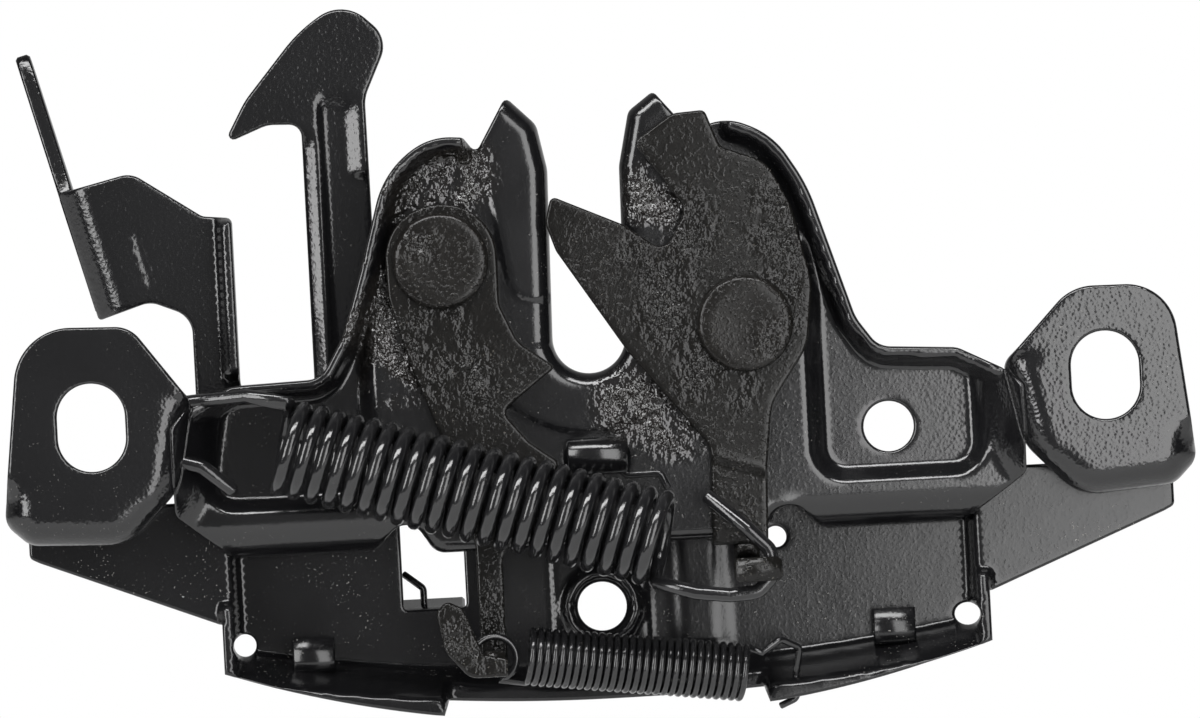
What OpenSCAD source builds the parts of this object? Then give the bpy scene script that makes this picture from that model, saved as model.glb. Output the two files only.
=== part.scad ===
// Bonnet latch with a sprung claw, a cable-pulled pawl and a hand-pulled safety hook.
// Millimetres. X runs along the latch, Z is up and -Y faces the front, where the springs are.
// The origin is on the axis of the centre bolt hole, at the back face of the rear plate.

/* [Overall] */
// Width over the two ears
latch_width = 190.4; // [188.4:0.2:193]
// Height of the safety hook's tip above the centre bolt hole
hook_height = 98.6; // [96:0.2:102]

/* [Sheets] */
// Thickness of the front plate
front_sheet = 2; // [1.6:0.1:2.4]
// Thickness of the rear plate
rear_sheet = 1.8; // [1.4:0.1:2.2]
// Thickness of the claw and the pawl
lever_sheet = 3; // [2.4:0.1:3.4]
// Thickness of the safety lever
safety_sheet = 2.3; // [1.8:0.1:2.6]

/* [Depths] */
// From the back of the rear plate's wings to the back of its floor
tray_depth = 8; // [7:0.5:9]
// From the front plate's side panels forward to its tower face
tower_step = 3; // [2:0.5:4]
// From the front plate's side panels forward to the ears
ear_rise = 14; // [11:0.5:15]
// Outer radius of the roll along the lower edge of each ear
ear_roll = 5; // [3.5:0.5:6]
// Height of the rim that stands up around the towers
rim_height = 5; // [4:0.5:7]
// Depth of the rolled edge behind the striker slot
slot_roll = 4; // [3:0.5:5]
// Height of the rear plate's bottom flange
flange_height = 14; // [11:0.5:15]

/* [Holes] */
// Width of the striker slot
striker_slot = 11.6; // [10:0.2:12]
// Width of the bolt slot in each ear
ear_slot_width = 10.8; // [9:0.2:12]
// Length of the bolt slot in each ear
ear_slot_length = 14; // [12:0.2:15]
// Distance between the two ear slots
ear_slot_spacing = 161; // [159:0.5:163]
// Diameter of the centre bolt hole
centre_hole = 7.8; // [6:0.2:8.6]
// Diameter of the round hole in the right panel
locating_hole = 8; // [6:0.2:10]

/* [Pivots] */
// Diameter of the claw rivet
claw_pin = 10; // [8:0.5:11]
// Diameter of the pawl rivet
pawl_pin = 10; // [8:0.5:11]
// Diameter of the safety lever rivet
safety_pin = 8; // [6:0.5:9]
// Gap all round between a rivet and the lever that turns on it
pivot_gap = 0.05; // [0.02:0.01:0.08]
// Diameter of the claw and pawl rivet heads
rivet_head = 15.4; // [14:0.2:16]
// Height of the rivet heads
head_height = 1.6; // [1.2:0.1:2]

/* [Main spring] */
// Wire of the main spring
main_wire = 2.3; // [1.8:0.1:2.5]
// Outside diameter of the main spring
main_outside = 16.4; // [15:0.2:17]
// Turns of the main spring
main_turns = 22; // [18:1:23]

/* [Pawl spring] */
// Wire of the pawl spring
pawl_wire = 1.1; // [0.9:0.1:1.1]
// Outside diameter of the pawl spring
pawl_outside = 9.4; // [8.6:0.2:10]
// Turns of the pawl spring
pawl_turns = 28; // [20:1:29]

/* [Safety spring] */
// Wire of the safety spring
safety_wire = 1.1; // [0.8:0.1:1.2]
// Outside diameter of the safety spring
safety_outside = 6.6; // [6:0.2:7]
// Turns of the safety spring
safety_turns = 14; // [10:1:15]

/* [Hidden] */
$fn = 64;

// Depths of the layers, from the back of the rear plate forward
floor_front = -rear_sheet;
wing_back = -tray_depth;
wing_front = wing_back - rear_sheet;
panel_back = wing_front;
panel_front = panel_back - front_sheet;
tower_back = panel_back - tower_step;
tower_front = tower_back - front_sheet;
rim_front = tower_front - rim_height;
ear_front = panel_front - ear_rise;
lever_space = 0.6;
lever_back = tower_front - lever_space;
lever_front = lever_back - lever_sheet;
end_float = 0.1;
head_back = lever_front - end_float;
safety_space = 0.4;
safety_front = safety_space;
safety_back = safety_front + safety_sheet;
flange_front = -flange_height;

// Places of the pivots, in X and Z
claw_pivot = [25, 44];
pawl_pivot = [-22.8, 56.4];
safety_pivot = [-46, 21];
ear_slot_z = 32.9;
ear_middle = 1.1;
locating_place = [47, 26.4];

arc_steps = 6;

function unit(v) = v / norm(v);
function flat(p) = [p[0], p[1]];

// Points that round the corner p = [x, z, radius] between its two neighbours
function corner(before, p, after) =
    let (
        u = unit(flat(before) - flat(p)),
        v = unit(flat(after) - flat(p)),
        half = acos(max(-1, min(1, u * v))) / 2,
        middle = flat(p) + unit(u + v) * p[2] / sin(half),
        first = flat(p) + u * p[2] / tan(half) - middle,
        last = flat(p) + v * p[2] / tan(half) - middle,
        start = atan2(first[1], first[0]),
        turn = atan2(cross(first, last), first * last)
    )
    p[2] == 0 ? [flat(p)] : [
        for (k = [0 : arc_steps])
            middle + p[2] * [cos(start + turn * k / arc_steps), sin(start + turn * k / arc_steps)]
    ];

// An outline of [x, z, radius] corners as plain points
function rounded(p) = [
    for (i = [0 : len(p) - 1]) each corner(p[(i + len(p) - 1) % len(p)], p[i], p[(i + 1) % len(p)])
];

// The same outline with every side moved inwards; the points run counter-clockwise
function inset(p, d) = [
    for (i = [0 : len(p) - 1])
        let (
            a = unit(p[i] - p[(i + len(p) - 1) % len(p)]),
            b = unit(p[(i + 1) % len(p)] - p[i]),
            n = [-a[1], a[0]],
            m = [-b[1], b[0]]
        )
        p[i] + d * (n + m) / (1 + n * m)
];

// Outlines as [x, z, corner radius]
slot_half = striker_slot / 2;
slot_bottom = 37.3;
right_edge = [
    [26, 10, 3], [30, 16.5, 3], [36, 10.6, 3], [58, 10.6, 5], [68.5, 18, 2], [68.5, 32, 1],
    [65.5, 34.8, 2], [58.5, 38, 4], [46, 38.8, 4], [42, 44, 5], [35.4, 65.5, 12], [30.5, 73.6, 4],
    [23.5, 76.7, 4], [19.5, 75.4, 0.6], [16.6, 76.4, 0.6], [12.3, 81.6, 0.8], [8.2, 78.6, 2],
    [slot_half, 70, 6], [slot_half, slot_bottom, slot_half - 0.05]
];
left_edge = [
    [-slot_half, slot_bottom, slot_half - 0.05], [-slot_half, 70, 6], [-7, 77.2, 3], [-11.2, 81.7, 0.8],
    [-16.3, 73.2, 0.8], [-18.3, 75.8, 1], [-23.4, 76, 4], [-30.8, 71, 6], [-35.2, 56, 20],
    [-38.8, 45.4, 12], [-42.8, 38.6, 4], [-57, 38.2, 4], [-64.5, 34.8, 2], [-67, 32, 1], [-67, 18, 2],
    [-58, 10.6, 5], [-36, 10.6, 3], [-30, 16.5, 3], [-26, 10, 3]
];
plate_outline = rounded(concat(right_edge, left_edge));
ear_end = latch_width / 2;
ear_outline = [
    [64.5, 35.5, 3], [67.2, 22.5, 8], [75.5, 13.8, 8], [ear_end - 2.7, 15.2, 4], [ear_end, 22.5, 4],
    [ear_end - 3.2, 46.4, 5], [ear_end - 11.2, 48.6, 5], [74.5, 46.8, 4]
];
// Straight sides of an ear along which the sheet rolls back
ear_rolls = [[[64.5, 35.5], [67.2, 22.5]],
    [[67.2, 22.5], [75.5, 13.8]], [[75.5, 13.8], [ear_end - 2.7, 15.2]]];
right_ear = rounded(ear_outline);

claw_outline = rounded([
    [18, 9, 0.5], [26.9, 9, 0.5], [27.4, 21.5, 4], [28.6, 31, 8], [34.8, 40, 8], [36, 50, 10],
    [33.4, 62, 10], [29.8, 69.4, 5], [22.5, 72.2, 2], [20.3, 78.2, 1], [15.2, 77.9, 3], [8.7, 73.6, 1],
    [13, 67.8, 4], [16.6, 62.5, 3], [12.8, 56, 2], [6.6, 60.6, 2], [-4.8, 65.8, 0.9], [-5.9, 61.5, 2.5],
    [-4.4, 57, 3], [6.2, 40.4, 8], [18.6, 24.6, 4]
]);
pawl_outline = rounded([
    [-19.6, -8.4, 0.5], [-15.4, -8.4, 0.5], [-15.4, 9, 5], [-5.4, 23.4, 1], [-10.4, 27.2, 4],
    [-14.2, 32, 1.4],
    [-5.4, 38.6, 0.6], [-11.2, 43, 5], [-13.8, 49, 4], [-13.8, 65.4, 8.6], [-31.8, 65.4, 8.6],
    [-31.4, 51, 4], [-28.4, 40, 15], [-23.6, 27, 8], [-19.6, 11, 6]
]);
cable_hook_outline = rounded([
    [-15.4, -9.9, 0.5], [-15.4, -7, 0.5], [-19.2, -6.2, 1], [-22, 1.2, 1.2], [-24.6, 2.6, 1.2],
    [-26.4, 0.8, 1.4],
    [-25.2, -5.6, 4], [-21.5, -9.9, 3]
]);
safety_outline = rounded([
    [-38, -6.4, 6], [-21.8, -6.4, 2], [-21.8, 1, 0.5], [-34.6, 1, 2.5], [-36, 15, 5], [-33.2, 25, 6],
    [-33.2, hook_height - 14, 5], [-29.6, hook_height - 6, 2.4], [-35.8, hook_height, 3.6],
    [-43.2, hook_height - 5.4, 20], [-52.8, hook_height - 15.8, 10], [-56.4, hook_height - 21.8, 0.6],
    [-49, hook_height - 19.2, 5], [-43.6, hook_height - 19.4, 2], [-43.6, 35, 4], [-55.2, 35, 4],
    [-55.2, 64.9, 1],
    [-60.5, 65.4, 2], [-71.5, 72.9, 4], [-82.2, 70.6, 0], [-77, 49.7, 0], [-69.5, 52.2, 4], [-63, 49.5, 4],
    [-63, 24, 5], [-71, 12, 3], [-70.4, 3.3, 2], [-65.6, 3.3, 2], [-61, 12, 5], [-52, 9, 6]
]);

// A flat outline in X and Z made into a sheet whose back face is at y_back
module slab(y_back, thickness) {
    translate([0, y_back, 0])
        rotate([90, 0, 0])
            linear_extrude(thickness)
                children();
}

// A box between two corners
module block(low, high) {
    translate(low)
        cube(high - low);
}

// A pin along Y between two depths
module pin(place, diameter, y_back, y_front) {
    translate([place[0], y_back, place[1]])
        rotate([90, 0, 0])
            cylinder(d = diameter, h = y_back - y_front);
}

// A sheet profile in Y and Z drawn along X between two places
module along_x(x_low, x_high) {
    translate([x_low, 0, 0])
        rotate([90, 0, 90])
            linear_extrude(x_high - x_low)
                children();
}

module both_sides() {
    children();
    mirror([1, 0, 0])
        children();
}

// The border of an outline, one sheet wide
module border(outline, width) {
    difference() {
        polygon(outline);
        polygon(inset(outline, width));
    }
}

module stadium(width, length) {
    translate([0, (length - width) / 2])
        circle(d = width);
    translate([0, -(length - width) / 2])
        circle(d = width);
    square([width, length - width], center = true);
}

floor_half = 60.5;
panel_edge = 35;
panel_end = 62;
panel_floor = 18.5;
pocket_corner = 5;
skirt_foot = 10.6;
skirt_roll = 7;
skirt_top = skirt_foot + skirt_roll;
skirt_half = floor_half - rear_sheet - 0.2;

// Pocket pressed into each side of the plate
module pocket_shape(wall) {
    polygon(rounded([
        [panel_edge - wall, panel_floor - wall, pocket_corner + wall],
        [panel_end + wall, panel_floor - wall, pocket_corner + wall], [panel_end + wall, 70, 0],
        [panel_edge - wall, 70, 0]
    ]));
}

// Lower edge of the plate, rolled back to the floor of the rear plate
module skirt() {
    inner = skirt_roll - front_sheet;
    middle = [tower_front + skirt_roll, skirt_foot + skirt_roll];
    along_x(panel_edge - 4, skirt_half)
        polygon(concat(
            [for (k = [0 : arc_steps])
                middle - skirt_roll * [cos(90 * k / arc_steps), sin(90 * k / arc_steps)]],
            [[floor_front, skirt_foot], [floor_front, skirt_foot + front_sheet]],
            [for (k = [arc_steps : -1 : 0])
                middle - inner * [cos(90 * k / arc_steps), sin(90 * k / arc_steps)]],
            [[tower_back, middle[1] + 1], [tower_front, middle[1] + 1]]
        ));
}

module side_panel() {
    intersection() {
        union() {
            slab(panel_back, front_sheet)
                pocket_shape(0);
            slab(panel_back, panel_back - tower_front)
                difference() {
                    pocket_shape(front_sheet / 2);
                    pocket_shape(-front_sheet / 2);
                }
            skirt();
        }
        slab(20, 60)
            polygon(plate_outline);
    }
}

module tower_face() {
    slab(tower_back, front_sheet)
        difference() {
            intersection() {
                polygon(plate_outline);
                union() {
                    translate([-panel_edge + 4, 0])
                        square([2 * panel_edge - 8, 90]);
                    translate([-70, skirt_top])
                        square([140, 70]);
                }
            }
            both_sides()
                pocket_shape(0);
        }
}

// Outer edge of each half of the plate, closed through the middle
right_rim = rounded([
    [12, 30, 0], [64.5, 30, 0], [64.5, 34.8, 3], [58.5, 38, 4], [46, 38.8, 4], [42, 44, 5], [35.4, 65.5, 12],
    [30.5, 73.6, 4], [23.5, 76.7, 4], [17, 74.6, 0]
]);
left_rim = rounded([
    [-12, 30, 0], [-15, 73.6, 0], [-18.3, 75.8, 3], [-23.4, 76, 4], [-30.8, 71, 6], [-35.2, 56, 20],
    [-38.8, 45.4, 12], [-42.8, 38.6, 4], [-57, 38.2, 4], [-64.5, 34.8, 3], [-64.5, 30, 0]
]);

// Rim that stands forward around the towers and over the panels
module rim() {
    intersection() {
        slab(panel_back, panel_back - rim_front)
            union() {
                border(right_rim, front_sheet);
                border(left_rim, front_sheet);
            }
        union() {
            block([23.4, -60, 39.5], [70, 10, 90]);
            block([-70, -60, 39.5], [-17.6, 10, 90]);
            block([36, -60, 33], [65, 10, 60]);
            block([-65, -60, 33], [-36, 10, 60]);
        }
    }
}

module slot_shape(half_width) {
    translate([0, slot_bottom + slot_half])
        circle(r = half_width);
    translate([-half_width, slot_bottom + slot_half])
        square([2 * half_width, 70 - slot_bottom - slot_half]);
}

// Edge of the striker slot, turned back
module slot_edge() {
    slab(tower_back + slot_roll, slot_roll + 1)
        difference() {
            slot_shape(slot_half + front_sheet);
            slot_shape(slot_half);
        }
}

// Lower edge of the middle lobe, turned back
module lobe_edge() {
    intersection() {
        slab(tower_back + slot_roll, slot_roll + front_sheet)
            polygon(plate_outline);
        block([-30, -60, 5], [30, 10, 10 + front_sheet]);
    }
}

// What a roll of the given radius takes off the front edge of a sheet along a straight side
module roll_cut(side, front, radius) {
    along = side[1] - side[0];
    translate([side[0][0], front, side[0][1]])
        rotate([0, -atan2(along[1], along[0]), 0])
            difference() {
                translate([-20, -1, -20])
                    cube([norm(along) + 40, radius + 1, radius + 20]);
                translate([-21, radius, radius])
                    rotate([0, 90, 0])
                        cylinder(r = radius, h = norm(along) + 42);
            }
}

// Solid under an ear's outline, rolled along its lower sides
module ear_block(outline, front, back, inwards) {
    difference() {
        slab(back, back - front)
            polygon(inset(outline, inwards));
        for (side = ear_rolls)
            let (across = unit([side[0][1] - side[1][1], side[1][0] - side[0][0]]) * inwards)
            roll_cut([side[0] + across, side[1] + across], front, ear_roll - inwards);
    }
}

// Right ear: a face and, along its lower sides, a wall back to the wing
module ear() {
    inner_side = ear_rolls[0];
    along = inner_side[1] - inner_side[0];
    intersection() {
        difference() {
            ear_block(right_ear, ear_front, panel_back, 0);
            ear_block(right_ear, ear_front + front_sheet, panel_back + 1, front_sheet);
        }
        union() {
            block([60, -60, 5], [100, 10, 20]);
            block([60, -60, 5], [70, 10, 36.5]);
            block([60, ear_front - 1, 0], [100, ear_front + front_sheet, 60]);
        }
    }
    // Slope from the ear's inner side down to the plate
    intersection() {
        translate([inner_side[0][0], 0, inner_side[0][1]])
            rotate([0, -atan2(along[1], along[0]), 0])
                along_x(-2, norm(along) + 2)
                    polygon([
                        [ear_front + ear_roll, 1], [tower_back, 1], [tower_back, -6], [tower_front, -6],
                        [ear_front + ear_roll + 2.6, -2], [ear_front + ear_roll, 0]
                    ]);
        translate([-ear_middle, 0, 0])
            slab(20, 60)
                polygon(plate_outline);
    }
}

anchor_tab = [[-4.4, 21.4], [5.4, 27.1]];
anchor_gap = 2.4;

// Tab pressed forward out of the middle lobe, for the safety spring
module anchor() {
    front = tower_front - anchor_gap - front_sheet;
    low = anchor_tab[0];
    high = anchor_tab[1];
    block([low[0], front, low[1]], [high[0], front + front_sheet, high[1]]);
    block([low[0], front, high[1] - front_sheet], [high[0], tower_back, high[1]]);
}

main_hook_y = -19.5;

module front_plate() {
    color("#17181a")
        difference() {
            union() {
                tower_face();
                both_sides()
                    side_panel();
                rim();
                slot_edge();
                lobe_edge();
                translate([ear_middle, 0, 0])
                    both_sides()
                        ear();
                anchor();
            }
            translate([ear_middle, 0, ear_slot_z])
                both_sides()
                    translate([ear_slot_spacing / 2, 0, 0])
                        slab(panel_back, 60)
                            stadium(ear_slot_width, ear_slot_length);
            pin(locating_place, locating_hole, 10, -40);
            pin(claw_pivot, claw_pin, 10, -40);
            pin(pawl_pivot, pawl_pin, 10, -40);
            // Opening that the anchor tab leaves behind it
            block([anchor_tab[0][0], tower_front - 1, 18.6],
                [anchor_tab[1][0] + 1, tower_back + 1, anchor_tab[1][1] - front_sheet]);
            // Holes in the left ear's wall for the main spring's hook
            block([-71, main_hook_y - 2.2, 23.6], [-58, main_hook_y + 2.2, 29.6]);
            block([-71, main_hook_y - 2.2, 33.6], [-58, main_hook_y + 2.2, 40]);
        }
}

// The rear plate's bottom flange follows a wide arc
flange_arc = 300;
flange_lean = 5.2;
trim_arc = 183;
trim_bottom = -17.8;
floor_bottom = -10;
flange_step = 25.5;

// Flange of the given height, from the middle out to half_width on both sides
module bottom_flange(height, half_width, lean) {
    top = [0, flange_arc + floor_bottom];
    spread = asin(half_width / flange_arc);
    translate([0, 0, top[1]])
        rotate([90, 0, 0])
            rotate([0, 0, -90 - spread])
                rotate_extrude(angle = 2 * spread, $fn = 400)
                    polygon([
                        [flange_arc - 4, 0], [flange_arc, 0], [flange_arc + rear_sheet, 1],
                        [flange_arc + lean + rear_sheet, height], [flange_arc + lean, height],
                        [flange_arc, rear_sheet], [flange_arc - 4, rear_sheet]
                    ]);
}

module floor_shape() {
    intersection() {
        translate([0, flange_arc + floor_bottom])
            circle(r = flange_arc, $fn = 400);
        translate([-floor_half, -20])
            square([2 * floor_half, 52]);
    }
}

window = [[-31.6, 1], [-21.6, 15]];
collar = 12.8;
collar_height = 1.4;
wing_outline = [
    [floor_half - rear_sheet, 0.4, 0], [61, 0.4, 0], [89, 11.6, 1.5], [90.6, 12.4, 1], [90.6, 20, 2],
    [floor_half - rear_sheet, 20, 0]
];
lance_half = 3.4;
lance_x = 46.3;

module side_wall() {
    block([floor_half - rear_sheet, wing_front, -5.2], [floor_half, 0, 20]);
    block([floor_half - rear_sheet, flange_front, -5.2], [floor_half, wing_back, 3.4]);
    slab(wing_back, rear_sheet)
        polygon(rounded(wing_outline));
}

// Square tab that stands up beside the bottom flange
module lance() {
    block([lance_x - lance_half, -6, -8.4], [lance_x + lance_half, -1, -6.6]);
    block([lance_x - lance_half, -6 - rear_sheet, -8.4], [lance_x + lance_half, -6, -2.6]);
}

// Floor, flanges, side walls, wings and tabs before any hole is cut
module rear_sheet_metal() {
    slab(0, rear_sheet)
        floor_shape();
    bottom_flange(flange_height * 0.55, floor_half - 1, flange_lean * 0.55);
    intersection() {
        bottom_flange(flange_height, floor_half - 1, flange_lean);
        both_sides()
            block([flange_step, -40, -30], [70, 10, 10]);
    }
    both_sides() {
        side_wall();
        lance();
    }
    pin([0, 0], collar, 0, floor_front - collar_height);
}

module rear_plate() {
    color("#141517")
        difference() {
            intersection() {
                rear_sheet_metal();
                // The flange is cut to a closer arc than it is bent to
                pin([0, trim_bottom + trim_arc], 2 * trim_arc, 10, -40, $fn = 400);
            }
            // The floor stops below the anchor tab and the round hole in the right panel
            block([-22, floor_front - 1, 16.4], [floor_half - rear_sheet, 10, 40]);
            block([window[0][0], -10, window[0][1]], [window[1][0], 10, window[1][1]]);
            pin([0, 0], centre_hole, 10, -40);
            pin([28.2, 10.1], 3.4, 10, -8);
            pin(safety_pivot, safety_pin, 10, -8);
            both_sides()
                pin([57.2, -3.3], 3.6, 10, -8);
            // Hole in the flange for the pawl spring
            translate([pawl_hook_place[0], pawl_hook_place[1], -25])
                cylinder(d = pawl_wire + 1.6, h = 20);
        }
}

claw_neck = [[21.4, 3.2], [25.4, 9.4]];
claw_head_front = -31.4;

module claw() {
    color("#1b1c1e")
        difference() {
            union() {
                slab(lever_back, lever_sheet)
                    polygon(claw_outline);
                // Arm end turned forward, with a wider head that keeps the spring on
                block([18.4, lever_front, 6.4], [26.6, lever_back, 9.6]);
                block([claw_neck[0][0], claw_head_front, 4], [claw_neck[1][0], lever_back, 6.8]);
                block([claw_neck[0][0], lever_front, 4], [claw_neck[1][0], lever_back, 9.6]);
                block([claw_neck[0][0] - 0.2, claw_head_front - 1.6, 3.2], [28.8, claw_head_front, 7]);
            }
            pin(claw_pivot, claw_pin + 2 * pivot_gap, 10, -40);
        }
}

hook_front = -27;
hook_sheet = 2.2;

module pawl() {
    color("#1b1c1e")
        difference() {
            union() {
                slab(lever_back, lever_sheet)
                    polygon(pawl_outline);
                // Foot turned forward, then up again as the hook for the cable
                block([-19.2, hook_front + 0.4, -8.2], [-15.8, lever_back - 0.4, -5.6]);
                slab(hook_front + hook_sheet, hook_sheet)
                    polygon(cable_hook_outline);
            }
            pin(pawl_pivot, pawl_pin + 2 * pivot_gap, 10, -40);
        }
}

finger_tilt = -14.2;
safety_slot = [[-30, 4.4], [-26.2, 7.4]];

module safety_lever() {
    color("#17181a")
        difference() {
            union() {
                slab(safety_back, safety_sheet)
                    polygon(safety_outline);
                // Finger pull, turned back
                translate([-77, safety_front, 49.7])
                    rotate([0, finger_tilt, 0])
                        rotate([90, 0, 90])
                            translate([0, 0, 0.8 - safety_sheet])
                                linear_extrude(safety_sheet)
                                    polygon(rounded([
                                        [0, 0.4, 1], [20, 3, 3], [22, 44.4, 3], [12, 44.4, 3],
                                        [8, 26, 6], [0, 21.4, 1]
                                    ]));
                // Stiffening edge of the handle strip, turned forward
                block([-55.2 - safety_sheet, -6.6, 40], [-55.2, safety_back, 64]);
                // Rib along the hook arm
                block([-41.6, safety_front - 1.6, 42], [-36.4, safety_front + 0.4, hook_height - 12.6]);
                // Ledge for the safety spring, turned back
                block([-32.4, safety_front, 1 - safety_sheet], [-21.8, 10.4, 1]);
            }
            pin(safety_pivot, safety_pin + 2 * pivot_gap, 20, -20);
            block([safety_slot[0][0], safety_slot[0][1], -4], [safety_slot[1][0], safety_slot[1][1], 4]);
        }
}

// Shouldered rivet for a front lever
module front_rivet(place, diameter) {
    pin(place, diameter, tower_back, head_back);
    pin(place, diameter + 4, lever_back + lever_space - 0.02, lever_back + 0.05);
    pin(place, rivet_head, head_back, head_back - head_height);
    pin(place, diameter + 3, tower_back + 1.4, tower_back);
}

module claw_rivet() {
    color("#222326")
        front_rivet(claw_pivot, claw_pin);
}

module pawl_rivet() {
    color("#222326")
        front_rivet(pawl_pivot, pawl_pin);
}

module safety_rivet() {
    color("#222326") {
        pin(safety_pivot, safety_pin, safety_back + end_float, floor_front);
        pin(safety_pivot, safety_pin + 5, floor_front, floor_front - head_height);
        pin(safety_pivot, safety_pin + 5, safety_back + end_float + head_height, safety_back + end_float);
    }
}

// Points of a coil from one end of its axis to the other; an angle of 0 is up and 90 is forward
function coil(from, to, radius, turns, start, steps) =
    let (
        axis = unit(to - from),
        ahead = unit([0, -1, 0] - ([0, -1, 0] * axis) * axis),
        up = cross(ahead, axis)
    )
    [
        for (k = [0 : turns * steps])
            let (angle = start - 360 * k / steps)
            from + (to - from) * k / (turns * steps) + radius * (cos(angle) * up + sin(angle) * ahead)
    ];

// A line of [x, y, z] points whose inner corners are bent to the given radius
function bent(p, radius) = [
    for (i = [0 : len(p) - 1])
        let (
            u = i == 0 ? 0 : unit(p[i - 1] - p[i]),
            v = i == len(p) - 1 ? 0 : unit(p[i + 1] - p[i])
        )
        each (i == 0 || i == len(p) - 1 ? [p[i]] : bend(p[i], u, v, radius))
];

function bend(p, u, v, radius) =
    let (
        half = acos(max(-1, min(1, u * v))) / 2,
        middle = p + unit(u + v) * radius / sin(half),
        first = p + u * radius / tan(half) - middle,
        last = p + v * radius / tan(half) - middle,
        turn = 180 - 2 * half
    )
    [
        for (k = [0 : 4])
            middle + (first * sin(turn * (1 - k / 4)) + last * sin(turn * k / 4)) / sin(turn)
    ];

// A round wire along a line of points
module wire(path, diameter, sides) {
    count = len(path);
    along = [for (i = [0 : count - 1]) unit(path[min(i + 1, count - 1)] - path[max(i - 1, 0)])];
    first = unit(cross(along[0], abs(along[0][1]) < 0.9 ? [0, 1, 0] : [1, 0, 0]));
    across = [
        for (i = 0, n = first; i < count;
            i = i + 1, n = i < count ? unit(n - (n * along[i]) * along[i]) : n) n
    ];
    points = [
        for (i = [0 : count - 1], k = [0 : sides - 1])
            path[i] + diameter / 2 * (cos(360 * k / sides) * across[i]
                + sin(360 * k / sides) * cross(along[i], across[i]))
    ];
    skin = [
        for (i = [0 : count - 2], k = [0 : sides - 1], half = [0, 1])
            let (a = i * sides + k, b = i * sides + (k + 1) % sides)
            half == 0 ? [a, a + sides, b] : [b, a + sides, b + sides]
    ];
    polyhedron(
        points = points,
        faces = concat(
            [[for (k = [0 : sides - 1]) k]],
            skin,
            [[for (k = [sides - 1 : -1 : 0]) (count - 1) * sides + k]]
        )
    );
}

main_start = [-50, -26.2, 28.6];
main_end = [10.6, -28.8, 10.4];
main_radius = (main_outside - main_wire) / 2;

module main_spring() {
    turns = main_turns + 0.5;
    body = coil(main_start, main_end, main_radius, turns, 0, 14);
    last = body[len(body) - 1];
    left = bent([
        [-57.6, main_hook_y + 0.4, 21.8], [-62.4, main_hook_y, 25.8], [-70, main_hook_y, 28],
        [-70, main_hook_y, 35.6],
        [-62, main_hook_y, 36.2], [-54.5, main_hook_y - 3, 36.6]
    ], 2.2);
    neck_y = claw_head_front + main_wire / 2 + 0.2;
    right = bent([
        [15, neck_y, 1.9], [24, neck_y, 1.3], [27.1, neck_y, 2.6], [27.1, neck_y, 7.4],
        [24, neck_y, 10.4], [17.6, neck_y + 2, 17.2]
    ], 1.6);
    color("#1d1e20")
        wire(concat(left, body, right), main_wire, 8);
}

pawl_start = [-12.2, -20, -7];
pawl_end = [22, -16.4, -11.4];
pawl_radius = (pawl_outside - pawl_wire) / 2;
pawl_hook_place = [30.2, -11.4];

module pawl_spring() {
    turns = pawl_turns + 0.5;
    body = coil(pawl_start, pawl_end, pawl_radius, turns, 180, 12);
    loop_y = -21.6;
    loop_r = 3.5;
    loop = [
        for (a = [-200 : 20 : 80])
            [-17.5 + loop_r * cos(a), loop_y + 0.8 * a / 100, -7 + loop_r * sin(-a)]
    ];
    right = bent([
        [25, -17, -8.4], [28, -16.4, -6.4], [31, pawl_hook_place[1] - 2, -8],
        [pawl_hook_place[0], pawl_hook_place[1], -12.4],
        [pawl_hook_place[0], pawl_hook_place[1], -16], [27.6, pawl_hook_place[1], -17.2]
    ], 1.1);
    color("#1d1e20")
        wire(concat(loop, body, right), pawl_wire, 6);
}

safety_start = [-18, 6.4, -2.4];
safety_end = [-3, 6.4, 7.4];
safety_radius = (safety_outside - safety_wire) / 2;

module safety_spring() {
    turns = safety_turns + 0.5;
    body = coil(safety_start, safety_end, safety_radius, turns, 0, 12);
    left = bent([
        [-31.4, 5.8, 6.6], [-28.4, 5.8, 4.2], [-28.4, 5.9, -3.4], [-24, 6.2, -4.2], [-20.6, 6.3, -1]
    ], 1);
    right = bent([
        [-0.4, 6.2, 10], [3, 4, 19.6], [4.4, -8, 20.4], [5.2, -16.4, 20.6],
        [10.4, -16.6, 21], [11.4, -16.2, 18.6]
    ], 1);
    color("#1d1e20")
        wire(concat(left, body, right), safety_wire, 6);
}

front_plate();
rear_plate();
claw();
pawl();
safety_lever();
claw_rivet();
pawl_rivet();
safety_rivet();
main_spring();
pawl_spring();
safety_spring();
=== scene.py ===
"""Bonnet latch: painted plates, greased levers and springs on a pale studio floor.

The pieces are drawn in millimetres; the lights and the camera are placed in metres.
"""
import math

import bpy
import numpy as np
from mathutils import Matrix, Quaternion, Vector
from mathutils.geometry import delaunay_2d_cdt


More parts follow.
